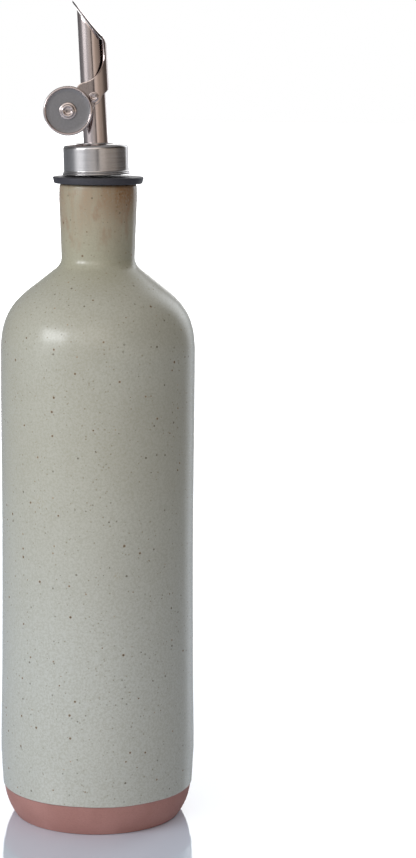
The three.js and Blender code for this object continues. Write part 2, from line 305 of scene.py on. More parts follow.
def mesh_from(name, points, faces):
    """A smooth-shaded mesh from points in millimetres."""
    mesh = bpy.data.meshes.new(name)
    mesh.from_pydata([tuple(c * MM for c in p) for p in points], [], faces)
    mesh.validate()
    mesh.polygons.foreach_set("use_smooth", [True] * len(mesh.polygons))
    return mesh


def turned(name, profile, segments, shape=None):
    """A closed body of revolution about Z. shape(radius, height, angle) may move a point of it."""
    points = []
    rings = []
    for radius, height in profile:
        if radius < 1e-6:
            rings.append([len(points)])
            points.append((0.0, 0.0, height))
            continue
        rings.append(list(range(len(points), len(points) + segments)))
        for k in range(segments):
            angle = 360 * k / segments
            r, z = shape(radius, height, angle) if shape else (radius, height)
            points.append((r * cos(angle), r * sin(angle), z))
    faces = []
    for low, high in zip(rings, rings[1:]):
        for k in range(segments):
            n = (k + 1) % segments
            if len(low) == 1:
                faces.append((low[0], high[n], high[k]))
            elif len(high) == 1:
                faces.append((low[k], low[n], high[0]))
            else:
                faces.append((low[k], low[n], high[n], high[k]))
    return mesh_from(name, points, faces)


def clay_profile():
    """Foot and bare clay, from the middle of the base up to where the glaze starts."""
    base = [(radius, 0.0) for radius in BASE_RINGS]
    edge = arc((FOOT_RADIUS, FOOT_EDGE_RADIUS), FOOT_EDGE_RADIUS, -90, -30, 8)
    swell = bezier([edge[-1], CLAY_SWELL, (CLAY_TOP_RADIUS, CLAY_TOP_HEIGHT)], 24)
    return base + edge + swell[1:]


def wall_line():
    """Glaze's thick lower edge and the wall above it. The edge stands in for the wall's first few points."""
    outside = CLAY_TOP_RADIUS + GLAZE_THICKNESS
    centre = (outside - GLAZE_EDGE_RADIUS, CLAY_TOP_HEIGHT + GLAZE_EDGE_RADIUS)
    edge = arc(centre, GLAZE_EDGE_RADIUS, -80, 10, 8)
    wall = spline([(outside, WALL_START_HEIGHT)] + WALL, 120)
    return edge + wall[4:]


def shoulder_line():
    """Round of the shoulder, its cone and the fillet that ends in the neck."""
    wall_radius, wall_height = WALL[-1]
    cone_radius, cone_height = SHOULDER_CONE
    above_wall = (wall_radius, wall_height + SHOULDER_ROUND_UP)
    before_cone = (cone_radius + cos(SHOULDER_SLOPE) * SHOULDER_ROUND_ALONG,
                   cone_height - sin(SHOULDER_SLOPE) * SHOULDER_ROUND_ALONG)
    shoulder = bezier([WALL[-1], above_wall, before_cone, SHOULDER_CONE], 28)
    centre_radius = NECK_RADIUS + NECK_FILLET_RADIUS
    below_centre = cone_height + (cone_radius - centre_radius) * tan(SHOULDER_SLOPE)
    centre = (centre_radius, below_centre + NECK_FILLET_RADIUS / cos(SHOULDER_SLOPE))
    fillet = arc(centre, NECK_FILLET_RADIUS, 270 - SHOULDER_SLOPE, 180, 14)
    cone = resampled([SHOULDER_CONE, fillet[0]], spacing=1.0)[1:-1]
    return shoulder[1:] + cone + fillet


def neck_line(foot):
    """From the neck's foot up over the lip and down the socket."""
    middle = ((NECK_RADIUS + NECK_TOP_RADIUS) / 2, NECK_MIDDLE_HEIGHT)
    neck = resampled([foot, middle, (NECK_TOP_RADIUS, NECK_TOP_HEIGHT)], spacing=1.0)
    lip = arc((NECK_TOP_RADIUS - LIP_INSET - LIP_RADIUS, RIM_HEIGHT - LIP_RADIUS), LIP_RADIUS, 0, 90, 8)
    socket_floor = RIM_HEIGHT - SOCKET_DEPTH
    socket = [(SOCKET_RADIUS, RIM_HEIGHT), (SOCKET_RADIUS, socket_floor), (0.0, socket_floor)]
    return neck[1:] + lip + socket


def glaze_profile():
    """Glazed surface, from its thick lower edge to the rim and down the socket."""
    shoulder = shoulder_line()
    return wall_line() + shoulder + neck_line(shoulder[-1])


def hand_thrown(radius, height, angle):
    """Leaves the wall a trace out of round and rippled, always inwards, and lets the glaze line wander."""
    in_socket = radius < SOCKET_RADIUS + 0.1
    on_base = height < 0.5
    if in_socket or on_base:
        return radius, height
    around = Vector((cos(angle), sin(angle), 0))
    slow = noise.noise(around * 0.9 + Vector((0, 0, height / 45)))
    ring = noise.noise(around * 0.35 + Vector((3, 0, height / 6)))
    inward = OUT_OF_ROUND * (slow - 1) + RIPPLE * (ring - 1)
    near_line = max(0.0, 1 - abs(height - CLAY_TOP_HEIGHT) / GLAZE_LINE_REACH)
    wander = GLAZE_LINE_WANDER * noise.noise(around * 2.2) + GLAZE_LINE_TREMBLE * noise.noise(around * 9)
    return radius + inward, height + near_line * wander


def make_bottle():
    clay = clay_profile()
    mesh = turned("bottle_body", clay + glaze_profile(), BOTTLE_SEGMENTS, hand_thrown)
    mesh.materials.append(glaze_material())
    mesh.materials.append(clay_material())
    clay_faces = BOTTLE_SEGMENTS * (len(clay) - 1)
    for face in mesh.polygons:
        face.material_index = 1 if face.index < clay_faces else 0
    new_piece("bottle_body", mesh, Matrix.Identity(4), "bottle", ["bottle"])


def make_stopper():
    edge = COLLAR_EDGE_RADIUS
    chamfer_in, chamfer_up = PLUG_CHAMFER
    plug = [(0.0, -PLUG_DEPTH), (PLUG_RADIUS - chamfer_in, -PLUG_DEPTH),
            (PLUG_RADIUS, chamfer_up - PLUG_DEPTH), (PLUG_RADIUS, 0.0)]
    bottom = arc((COLLAR_UNDER_RADIUS - edge, edge), edge, -90, 0, 6)
    top = arc((COLLAR_RADIUS - edge, COLLAR_THICKNESS - edge), edge, 0, 90, 6)
    upper_face = [(radius, COLLAR_THICKNESS) for radius in COLLAR_RINGS]
    mesh = turned("rubber_stopper", plug + bottom + top + upper_face, segments=160)
    mesh.set_sharp_from_angle(angle=math.radians(50))
    mesh.materials.append(rubber_material())
    place = Matrix.Translation((0, 0, COLLAR_BASE * MM))
    new_piece("rubber_stopper", mesh, place, "bottle", ["stopper"])


def cap_profile():
    """From the middle of the cap's underside out over its bead, up its side and down its bore."""
    underside = [(0.0, 0.0), (CAP_RADIUS - 1, 0.02)]
    bead = arc((CAP_BEAD_RADIUS - CAP_BEAD_ROUND, CAP_BEAD_HEIGHT), CAP_BEAD_ROUND, -90, 62, 12)
    step = arc(CAP_STEP, CAP_STEP_ROUND, -60, 88, 7)
    side = [(CAP_RADIUS, height) for height in CAP_SIDE_RINGS]
    corner = arc((CAP_RADIUS - CAP_CORNER_RADIUS, CAP_SIDE_HEIGHT), CAP_CORNER_RADIUS, 0, 72, 10)
    seat = [(CAP_SEAT_RADIUS + 0.75, CAP_SHOULDER_HEIGHT + 0.1)]
    seat += arc((CAP_SEAT_RADIUS + 0.1, CAP_SEAT_HEIGHT - CAP_SEAT_ROUND), CAP_SEAT_ROUND, 0, 90, 5)
    bore = [(CAP_BORE_RADIUS, CAP_SEAT_HEIGHT), (CAP_BORE_RADIUS, CAP_BORE_FLOOR), (0.0, CAP_BORE_FLOOR)]
    return underside + bead + CAP_GROOVE + step + side + corner + seat + bore


def make_cap():
    mesh = turned("steel_cap", cap_profile(), segments=192)
    mesh.set_sharp_from_angle(angle=math.radians(50))
    mesh.materials.append(brushed_material())
    new_piece("steel_cap", mesh, cap_place(), "bottle", ["cap"])


@cache
def mouth_line():
    return spline(MOUTH_EDGE, 120)


def mouth_height(across):
    """Height of the slanted cut at a place across the tube's side view."""
    edge = mouth_line()
    for (x0, z0), (x1, z1) in zip(edge, edge[1:]):
        if x0 <= across <= x1:
            return z0 + (z1 - z0) * (across - x0) / (x1 - x0)
    return edge[-1][1]


def tube_radius(height):
    """Outer radius of the tube, which narrows a little towards its tip."""
    return TUBE_BASE_RADIUS + (TUBE_TIP_RADIUS - TUBE_BASE_RADIUS) * height / TUBE_TIP_HEIGHT


def tube_column(angle):
    """(radius, height) pairs up the tube's outside, over the rounded rim of the cut and down its bore."""
    mouth_radius = tube_radius(MOUTH_MIDDLE_HEIGHT)
    top = mouth_height(mouth_radius * cos(angle))
    inner_top = mouth_height((mouth_radius - TUBE_WALL) * cos(angle))
    column = []
    for row in range(TUBE_ROWS + 1):
        height = TUBE_BOTTOM + (top - MOUTH_RIM_DROP - TUBE_BOTTOM) * row / TUBE_ROWS
        column.append((tube_radius(height), height))
    for share, up in MOUTH_RIM:
        height = top + (inner_top - top) * share + up
        column.append((tube_radius(height) - TUBE_WALL * share, height))
    for row in range(TUBE_ROWS + 1):
        height = inner_top - MOUTH_RIM_DROP + (TUBE_BOTTOM - inner_top + MOUTH_RIM_DROP) * row / TUBE_ROWS
        column.append((tube_radius(height) - TUBE_WALL, height))
    return column


def make_spout():
    """The tube is a closed grid of columns side by side round its axis."""
    points = []
    for k in range(TUBE_SEGMENTS):
        angle = 360 * k / TUBE_SEGMENTS
        points += [(r * cos(angle), r * sin(angle), z) for r, z in tube_column(angle)]
    count = len(points) // TUBE_SEGMENTS
    faces = []
    for k in range(TUBE_SEGMENTS):
        n = (k + 1) % TUBE_SEGMENTS
        for row in range(count):
            up = (row + 1) % count
            faces.append((k * count + row, n * count + row, n * count + up, k * count + up))
    mesh = mesh_from("steel_spout", points, faces)
    mesh.set_sharp_from_angle(angle=math.radians(60))
    mesh.materials.append(polished_material())
    new_piece("steel_spout", mesh, spout_place(), "bottle", ["spout"])


def lid_height(across):
    """Height of the lid's slanted plane in the side view."""
    return LID_CORNER_HEIGHT + (SADDLE_RADIUS - across) / tan(LID_ANGLE)


def flat_from_side(across):
    """Distance along the bent sheet from its back line, for a place in the side view."""
    quarter = SADDLE_RADIUS * math.pi / 2
    if across >= 0:
        return SADDLE_RADIUS * math.acos(min(1.0, across / SADDLE_RADIUS))
    return quarter - across


def bent(along, height, depth):
    """Point of the bent sheet, for a distance along it from its back line and a depth in its outer face."""
    quarter = SADDLE_RADIUS * math.pi / 2
    radius = SADDLE_RADIUS - depth
    if abs(along) <= quarter:
        angle = math.degrees(along / SADDLE_RADIUS)
        return (radius * cos(angle), radius * sin(angle), height)
    return (quarter - abs(along), math.copysign(radius, along), height)


@cache
def front_edge_line():
    """Saddle's front edge in the side view, from the lid's plane down to the counterweight's lobe."""
    return [p for p in spline(FRONT_EDGE, 90) if p[1] < lid_height(p[0])]


def strip_half_angle():
    """Angle from the back line at which the saddle's front edge meets the lid."""
    return math.degrees(math.acos(front_edge_line()[0][0] / SADDLE_RADIUS))


def bend_setback(angle):
    """How far below the lid's plane the sheet starts to bend over, less towards the strip's edges."""
    share = min(1.0, abs(angle) / strip_half_angle())
    return max(LEAST_SETBACK, LID_BEND_RADIUS * tan(LID_ANGLE / 2) * (1 - share ** 3))


def strip_top(angle):
    return lid_height(SADDLE_RADIUS * cos(angle)) - bend_setback(angle)


def strip_angles():
    """Angles across the strip that joins the saddle to the lid, evenly spaced from edge to edge."""
    half = strip_half_angle()
    return [half * (1 - 2 * k / STRIP_STEPS) for k in range(STRIP_STEPS + 1)]


def saddle_outline():
    """Outline of the flat blank without its lid: one side, the other side, then the strip's top."""
    front_top = strip_top(strip_half_angle()) - 0.3
    front = [p for p in front_edge_line()[1:] if p[1] < front_top]
    weight_lobe = arc((WEIGHT_ACROSS, WEIGHT_HEIGHT), WEIGHT_LOBE_RADIUS, *WEIGHT_LOBE_SWEEP, 60)
    pivot_lobe = arc((0.0, PIVOT_HEIGHT), PIVOT_LOBE_RADIUS, *PIVOT_LOBE_SWEEP, 12)
    side_line = resampled(front + weight_lobe + pivot_lobe + LOWER_EDGE, SHEET_SPACING)
    one_side = [(flat_from_side(x), z) for x, z in side_line]
    other_side = [(-s, z) for s, z in reversed(one_side[:-1])]
    top = [(SADDLE_RADIUS * math.radians(a), strip_top(a)) for a in reversed(strip_angles())]
    return one_side + other_side + top


def pin_holes():
    """The four pin holes of the flat blank, one pair in each ear."""
    holes = []
    for across, height in ((0.0, PIVOT_HEIGHT), (WEIGHT_ACROSS, WEIGHT_HEIGHT)):
        for side in (1, -1):
            holes.append(arc((side * flat_from_side(across), height), PIN_HOLE_RADIUS, 0, 345, 23))
    return holes


def make_flap():
    flat, faces, outline_spots = filled_outline(saddle_outline(), pin_holes(), SHEET_SPACING)
    spots = [(bent(s, z, 0), bent(s, z, SHEET)) for s, z in flat]
    strip_feet = list(reversed(outline_spots[-len(strip_angles()):]))
    faces = faces + lid_faces(spots, strip_feet)
    mesh = thick_sheet("steel_flap", spots, faces)
    mesh.materials.append(polished_material())
    # The lid's rim gets a painted dark reflection
    mesh.materials.append(painted_dark_rim_material())
    mark_painted_dark_rim(mesh)
    piece = new_piece("steel_flap", mesh, spout_place(), "flap", ["flap"])
    rounded = piece.modifiers.new("edges", "BEVEL")
    rounded.width = SHEET_EDGE_ROUND * MM
    rounded.segments = 2
    rounded.limit_method = "ANGLE"
    rounded.angle_limit = math.radians(60)


def mark_painted_dark_rim(mesh):
    """Gives the rim of the lid, in front of where the saddle's edge meets it, the second material: a painted
    dark reflection.
    """
    back = front_edge_line()[0][0]
    for face in mesh.polygons:
        x, y, z = face.center / MM
        on_rim = math.hypot(x, y) > SADDLE_RADIUS - 0.02 and x < back
        if on_rim and z > lid_height(x) - 2 * SHEET / sin(LID_ANGLE):
            face.material_index = 1


def thick_sheet(name, spots, faces):
    """A closed mesh from pairs of points, one on each face of the sheet, and the faces between them."""
    count = len(spots)
    uses = {}
    for face in faces:
        for a, b in zip(face, face[1:] + face[:1]):
            uses.setdefault(frozenset((a, b)), []).append((a, b))
    border = [found[0] for found in uses.values() if len(found) == 1]
    points = [outer for outer, _ in spots] + [inner for _, inner in spots]
    under = [tuple(i + count for i in reversed(face)) for face in faces]
    rim = [(b, a, a + count, b + count) for a, b in border]
    mesh = mesh_from(name, points, list(faces) + under + rim)
    closed = bmesh.new()
    closed.from_mesh(mesh)
    bmesh.ops.recalc_face_normals(closed, faces=closed.faces)
    closed.to_mesh(mesh)
    closed.free()
    return mesh


def filled_outline(outline, holes, spacing):
    """Points and triangles that fill a flat outline with holes, and the outline's own points among them."""
    loops = [outline] + holes
    edges = []
    start = 0
    for loop in loops:
        edges += [(start + i, start + (i + 1) % len(loop)) for i in range(len(loop))]
        start += len(loop)
    spots = [p for loop in loops for p in loop] + grid_inside(outline, loops, spacing)
    inner_triangles = 1
    made = delaunay_2d_cdt([Vector(spot) for spot in spots], edges, [], inner_triangles, MERGE_DISTANCE)
    flat = [tuple(p) for p in made[0]]
    kept = []
    for face in made[2]:
        middle = (sum(flat[i][0] for i in face) / 3, sum(flat[i][1] for i in face) / 3)
        if inside(middle, outline) and not any(inside(middle, hole) for hole in holes):
            kept.append(tuple(face))
    now = {old: new for new, olds in enumerate(made[3]) for old in olds}
    return flat, kept, [now[i] for i in range(len(outline))]


def grid_inside(outline, loops, spacing):
    """Points of an even grid inside the outline, without those that come close to a loop's own points."""
    low = [min(p[c] for p in outline) for c in (0, 1)]
    high = [max(p[c] for p in outline) for c in (0, 1)]
    columns, rows = (int((high[c] - low[c]) / spacing) for c in (0, 1))
    clear = spacing * 0.55
    made = []
    for row in range(1, rows):
        for column in range(1, columns):
            spot = (low[0] + (high[0] - low[0]) * column / columns, low[1] + (high[1] - low[1]) * row / rows)
            if inside(spot, outline) and all(gap_to(spot, loop) > clear for loop in loops):
                made.append(spot)
    return made


def inside(spot, loop):
    """True if the spot is inside a closed line."""
    x, y = spot
    found = False
    for (x0, y0), (x1, y1) in zip(loop, loop[1:] + loop[:1]):
        if (y0 > y) != (y1 > y) and x < x0 + (x1 - x0) * (y - y0) / (y1 - y0):
            found = not found
    return found


def gap_to(spot, loop):
    return min(math.dist(spot, p) for p in loop)


def lid_pair(angle, reach):
    """Both faces' points of the lid at a reach from the tube's axis. Its lower part is arched across."""
    x, y = reach * cos(angle), reach * sin(angle)
    up_lid = (SADDLE_RADIUS - x) / sin(LID_ANGLE)
    arch = LID_ARCH * max(0.0, 1 - up_lid / LID_ARCH_LENGTH) * (y / SADDLE_RADIUS) ** 2
    top = lid_height(x) - arch / sin(LID_ANGLE)
    return (x, y, top), (x, y, top - SHEET / sin(LID_ANGLE))


def bend_pair(angle, share):
    """Both faces' points of the bend between the lid (share 0) and the strip's top (share 1)."""
    made = []
    lid = lid_pair(angle, SADDLE_RADIUS - bend_setback(angle) * sin(LID_ANGLE))
    for start, depth in zip(lid, (0, SHEET)):
        foot = bent(SADDLE_RADIUS * math.radians(angle), strip_top(angle), depth)
        above = lid_pair(angle, SADDLE_RADIUS - depth)[1 if depth else 0][2]
        corner = (foot[0], foot[1], above)
        made.append(curve_at([start, corner, foot], share))
    return tuple(made)


def lid_angles(strip):
    """Angles round the lid: the strip's, then on round the free edge."""
    half = strip[0]
    free = [half + (360 - 2 * half) * k / LID_FREE_STEPS for k in range(1, LID_FREE_STEPS)]
    return strip + [360 - a for a in reversed(free)]


def add_row(spots, pairs):
    """Adds pairs of points to the sheet's spots and returns their places among them."""
    start = len(spots)
    spots.extend(pairs)
    return list(range(start, len(spots)))


def lid_faces(spots, strip_feet):
    """Adds the lid and its bend to the sheet's spots, joined to the strip's top, and returns their faces."""
    strip = strip_angles()
    angles = lid_angles(strip)
    reaches = [SADDLE_RADIUS - bend_setback(angle) * sin(LID_ANGLE) for angle in strip]
    reaches += [SADDLE_RADIUS] * (len(angles) - len(strip))
    centre = add_row(spots, [lid_pair(0, 0)])[0]
    rows = []
    for ring in range(1, LID_RINGS + 1):
        pairs = [lid_pair(angle, reach * ring / LID_RINGS) for angle, reach in zip(angles, reaches)]
        rows.append(add_row(spots, pairs))
    bends = [rows[-1][:len(strip)]]
    for step in range(1, BEND_STEPS):
        bends.append(add_row(spots, [bend_pair(angle, step / BEND_STEPS) for angle in strip]))
    bends.append(strip_feet)
    faces = []
    for k in range(len(angles)):
        n = (k + 1) % len(angles)
        faces.append((centre, rows[0][k], rows[0][n]))
        faces += [(low[k], high[k], high[n], low[n]) for low, high in zip(rows, rows[1:])]
    for low, high in zip(bends, bends[1:]):
        faces += [(low[k], high[k], high[k + 1], low[k + 1]) for k in range(len(strip) - 1)]
    return faces


def weight_profile():
    """Disc from its hole out over the back, round the rim and in over the dished face."""
    front = WEIGHT_THICKNESS
    face = front - WEIGHT_RECESS
    back_centre = (WEIGHT_RADIUS - WEIGHT_BACK_ROUND, WEIGHT_BACK_ROUND)
    rim_centre = (WEIGHT_RADIUS - WEIGHT_FRONT_ROUND, front - WEIGHT_FRONT_ROUND)
    back = [(PIN_HOLE_RADIUS, 0.0), (5.0, 0.0)] + arc(back_centre, WEIGHT_BACK_ROUND, -90, 0, 10)
    rim = arc(rim_centre, WEIGHT_FRONT_ROUND, 0, 90, 8)
    lip, lip_end, face_start, flat = WEIGHT_DISH_EDGE
    dish = bezier([(lip, front), (lip_end, front), (face_start, face + 0.04), (flat, face)], 6)
    rings = [(radius, face) for radius in WEIGHT_FACE_RINGS]
    return back + rim + dish + rings + [(PIN_HOLE_RADIUS, 0.0)]


def make_weight(name, side):
    """A disc outside one ear. Its face is dull, and the rest of it is polished."""
    mesh = turned("weight_disc_" + name, weight_profile(), segments=144)
    mesh.set_sharp_from_angle(angle=math.radians(60))
    mesh.materials.append(weight_material())
    mesh.materials.append(polished_material())
    for polygon in mesh.polygons:
        x, y, z = polygon.center / MM
        on_face = z > WEIGHT_DULL_ABOVE and math.hypot(x, y) < WEIGHT_DULL_RADIUS
        polygon.material_index = 0 if on_face else 1
    turn = Matrix.Rotation(math.radians(-side * 90), 4, "X")
    spot = Vector((WEIGHT_ACROSS, side * (SADDLE_RADIUS + RIVET_GAP), WEIGHT_HEIGHT)) * MM
    place = spout_place() @ Matrix.Translation(spot) @ turn
    new_piece("weight_disc_" + name, mesh, place, "flap", ["weight_" + name])


def make_rivet(name, spot, grip, head, body, node):
    """A pin along Y with two alike heads, each a raised ring round a dimple."""
    radius, height = head
    upper = [(max(0.0, radius * r), grip / 2 + height * h) for r, h in spline(HEAD_SECTION, 40)]
    upper[-1] = (0.0, upper[-1][1])
    lower = [(r, -z) for r, z in reversed(upper)]
    pin = [(PIN_RADIUS, -grip / 2), (PIN_RADIUS, grip / 2)]
    mesh = turned(name, lower + pin + upper, segments=72)
    mesh.set_sharp_from_angle(angle=math.radians(60))
    mesh.materials.append(polished_material())
    turn = Matrix.Rotation(math.radians(90), 4, "X")
    place = spout_place() @ Matrix.Translation(Vector(spot) * MM) @ turn
    new_piece(name, mesh, place, body, [node])


def make_rivets():
    """The pin that the flap turns on, and the one that holds the discs."""
    ear_face = SADDLE_RADIUS + RIVET_GAP
    disc_face = ear_face + WEIGHT_THICKNESS - WEIGHT_RECESS
    pivot = (0, 0, PIVOT_HEIGHT)
    weight = (WEIGHT_ACROSS, 0, WEIGHT_HEIGHT)
    make_rivet("pivot_pin", pivot, 2 * ear_face, PIVOT_HEAD, "bottle", "pivot_rivet")
    make_rivet("weight_pin", weight, 2 * (disc_face + RIVET_GAP), WEIGHT_HEAD, "flap", "weight_rivet")


class Nodes:
    """A node tree with short calls to add and join its nodes."""

    def __init__(self, tree):
        self.tree = tree

    def add(self, kind, **settings):
        node = self.tree.nodes.new(kind)
        for key, value in settings.items():
            setattr(node, key, value)
        return node

    def feed(self, value, socket):
        """Joins another node's output to a socket, or gives it a plain value."""
        if isinstance(value, bpy.types.NodeSocket):
            self.tree.links.new(value, socket)
        else:
            socket.default_value = value

    def split(self, vector):
        """X, Y and Z of a vector."""
        node = self.add("ShaderNodeSeparateXYZ")
        self.feed(vector, node.inputs[0])
        return tuple(node.outputs)

    def math(self, operation, *values):
        node = self.add("ShaderNodeMath", operation=operation)
        for value, socket in zip(values, node.inputs):
            self.feed(value, socket)
        return node.outputs[0]

    def times(self, a, b):
        return self.math("MULTIPLY", a, b)

    def spread(self, value, low, high, to_low=0.0, to_high=1.0, curve="SMOOTHSTEP"):
        """Maps a range of a value on to another, smoothly unless another curve is named."""
        node = self.add("ShaderNodeMapRange", interpolation_type=curve)
        self.feed(value, node.inputs["Value"])
        node.inputs["From Min"].default_value = low
        node.inputs["From Max"].default_value = high
        node.inputs["To Min"].default_value = to_low
        node.inputs["To Max"].default_value = to_high
        return node.outputs["Result"]

    def mix(self, share, a, b):
        """Colour that goes from a to b with the share."""
        node = self.add("ShaderNodeMix", data_type="RGBA")
        self.feed(share, node.inputs["Factor"])
        self.feed(a, node.inputs[MIX_A])
        self.feed(b, node.inputs[MIX_B])
        return node.outputs[MIX_RESULT]


class MaterialNodes(Nodes):
    """Node tree of a new material, with calls for patterns on the object. Its place is in metres."""

    def __init__(self, name):
        self.material = bpy.data.materials.new(name)
        self.material.use_nodes = True
        super().__init__(self.material.node_tree)
        self.shader = self.tree.nodes["Principled BSDF"]
        self.place = self.add("ShaderNodeTexCoord").outputs["Object"]

    def shade(self, name, value):
        """Feeds one input of the material's shader."""
        self.feed(value, self.shader.inputs[name])

    def scaled(self, factors, lean=0.0):
        """The place on the object along axes that lean with a part, times a factor for each axis."""
        node = self.add("ShaderNodeMapping", vector_type="TEXTURE")
        self.feed(self.place, node.inputs["Vector"])
        node.inputs["Rotation"].default_value = (0, math.radians(-lean), 0)
        node.inputs["Scale"].default_value = [1 / f for f in factors]
        return node.outputs[0]

    def near(self, spot, full, none):
        """1 within a distance of a spot, fading to 0 at another, in millimetres."""
        gap = self.add("ShaderNodeVectorMath", operation="DISTANCE")
        self.feed(self.place, gap.inputs[0])
        gap.inputs[1].default_value = [c * MM for c in spot]
        return self.spread(gap.outputs["Value"], none * MM, full * MM)

    def noise(self, vector, scale, detail=2.0, roughness=0.5):
        node = self.add("ShaderNodeTexNoise")
        self.feed(vector, node.inputs["Vector"])
        node.inputs["Scale"].default_value = scale
        node.inputs["Detail"].default_value = detail
        node.inputs["Roughness"].default_value = roughness
        return node.outputs["Fac"]

    def bump(self, height, strength, distance, normal=None):
        """Normal of a surface with this relief, laid over another normal if one is given."""
        node = self.add("ShaderNodeBump")
        self.feed(height, node.inputs["Height"])
        node.inputs["Strength"].default_value = strength
        node.inputs["Distance"].default_value = distance
        if normal is not None:
            self.feed(normal, node.inputs["Normal"])
        return node.outputs["Normal"]

    def specks(self, spacing, chance, radius, soft):
        """Round dots of up to a radius, one in some cells of a random grid, with sizes in millimetres.
        Gives their strength, the distance from the middle over each dot's radius, and a number for each."""
        cells = self.add("ShaderNodeTexVoronoi", feature="F1")
        self.feed(self.place, cells.inputs["Vector"])
        cells.inputs["Scale"].default_value = 1 / (spacing * MM)
        split = self.add("ShaderNodeSeparateColor")
        self.feed(cells.outputs["Color"], split.inputs[0])
        draw, size, tone = split.outputs
        largest = radius / spacing
        reach = self.spread(size, 0.0, 1.0, largest * 0.4, largest)
        edge = self.math("DIVIDE", cells.outputs["Distance"], reach)
        chosen = self.math("LESS_THAN", draw, chance)
        return self.times(self.spread(edge, 1.0, 1.0 - soft), chosen), edge, tone


def colour(*levels):
    """An sRGB colour, red, green and blue from 0 to 255, as the linear values that shaders take."""
    shares = [level / 255 for level in levels]
    return (*(s / 12.92 if s <= 0.04045 else ((s + 0.055) / 1.055) ** 2.4 for s in shares), 1.0)


def glaze_ground(n, height):
    """Cloudy sage grey, painted paler and cooler towards the foot as light bounced up from the floor."""
    cloudy = n.noise(n.place, 28.0, 3.0)
    sage = n.mix(n.spread(cloudy, 0.35, 0.65), colour(181, 178, 163), colour(186, 184, 170))
    # The pale, cool colour low down is painted bounce light from the floor
    return n.mix(n.spread(height, *PAINTED_FLOOR_LIGHT_TO_SAGE), colour(194, 195, 187), sage)


def neck_tints(n, height, base):
    """Warmer glaze up the neck, streaked, with a burnt spot by the rim and rusty blots."""
    base = n.mix(n.spread(height, *SAGE_TO_NECK), base, colour(172, 168, 146))
    streaks = n.noise(n.scaled((1.0, 1.0, 0.12)), 220.0, 4.0, 0.6)
    warm = n.times(n.spread(height, *WARM_UP_NECK), n.spread(streaks, 0.3, 0.7, 0.4, 1.0))
    base = n.mix(warm, base, colour(166, 144, 118))
    burnt = n.times(n.near(BURNT_SPOT, full=3.0, none=17.0), n.spread(streaks, 0.3, 0.7, 0.5, 1.0))
    base = n.mix(burnt, base, colour(138, 98, 60))
    blots = n.noise(n.scaled((1.0, 1.0, 0.5)), 260.0, 3.0, 0.6)
    rust = n.times(n.spread(height, *RUST_UP_NECK), n.spread(blots, 0.52, 0.72, 0.0, 0.55))
    return n.mix(rust, base, colour(150, 112, 84))


def iron_specks(n, grain, base):
    """A few wide stains, many faint specks, and dark ones, some of which have a rusty tinge."""
    stain, _, _ = n.specks(spacing=26.0, chance=0.5, radius=4.5, soft=1.0)
    base = n.mix(n.times(stain, n.spread(grain, 0.45, 0.7, 0.0, 0.5)), base, colour(164, 134, 82))
    faint, _, _ = n.specks(spacing=1.8, chance=0.85, radius=0.5, soft=0.9)
    base = n.mix(n.times(faint, 0.55), base, colour(118, 102, 72))
    dark, reach, tone = n.specks(spacing=2.9, chance=0.7, radius=0.56, soft=0.5)
    tinge = n.times(n.spread(reach, 2.3, 0.9), n.math("LESS_THAN", tone, 0.3))
    on_speck = n.math("GREATER_THAN", dark, 0.0)
    base = n.mix(n.times(tinge, n.times(on_speck, 0.35)), base, colour(176, 128, 78))
    strength = n.times(dark, n.spread(tone, 0.0, 1.0, 0.85, 0.4))
    return n.mix(strength, base, n.mix(tone, colour(78, 62, 38), colour(92, 86, 68)))


def glaze_material():
    n = MaterialNodes("sage_glaze")
    height = n.split(n.place)[2]
    grain = n.noise(n.place, 1300.0, 3.0, 0.7)
    base = neck_tints(n, height, glaze_ground(n, height))
    base = n.mix(n.spread(grain, 0.38, 0.72, 0.0, 0.45), base, colour(148, 143, 122))
    n.shade("Base Color", iron_specks(n, grain, base))
    n.shade("Roughness", n.spread(grain, 0.3, 0.7, 0.2, 0.28))
    pores = n.bump(n.noise(n.place, 1500.0), strength=0.10, distance=0.00003)
    n.shade("Normal", n.bump(n.noise(n.place, 160.0), strength=0.25, distance=0.00012, normal=pores))
    return n.material


def clay_material():
    n = MaterialNodes("terracotta")
    cloudy = n.noise(n.place, 60.0, 3.0)
    base = n.mix(n.spread(cloudy, 0.35, 0.65), colour(170, 122, 114), colour(179, 131, 123))
    grain = n.noise(n.scaled((1.0, 1.0, 2.5)), 1400.0, 3.0, 0.7)
    n.shade("Base Color", n.mix(n.spread(grain, 0.4, 0.8, 0.0, 0.4), base, colour(140, 98, 90)))
    n.shade("Roughness", 0.78)
    n.shade("Normal", n.bump(grain, strength=0.35, distance=0.00006))
    return n.material


def rubber_material():
    n = MaterialNodes("black_rubber")
    grain = n.noise(n.place, 1100.0, 3.0, 0.6)
    n.shade("Base Color", n.mix(n.spread(grain, 0.3, 0.7), colour(46, 45, 50), colour(58, 56, 62)))
    n.shade("Roughness", n.spread(grain, 0.3, 0.7, 0.46, 0.6))
    n.shade("Normal", n.bump(grain, strength=0.25, distance=0.00005))
    return n.material


def steel(name, light, dark, roughness, lines, line_scale, bump):
    """Bare steel with fine lines that follow the noise over the vector that lines(n) gives."""
    n = MaterialNodes(name)
    hairs = n.noise(lines(n), line_scale, 4.0, 0.7)
    smudge = n.noise(n.place, 190.0, 3.0)
    n.shade("Metallic", 1.0)
    n.shade("Base Color", n.mix(n.spread(hairs, 0.3, 0.7), dark, light))
    hair_roughness = n.spread(hairs, 0.25, 0.75, roughness - 0.03, roughness + 0.04)
    n.shade("Roughness", n.math("ADD", hair_roughness, n.spread(smudge, 0.35, 0.7, 0.0, 0.04)))
    n.shade("Normal", n.bump(hairs, strength=bump, distance=0.00002))
    return n


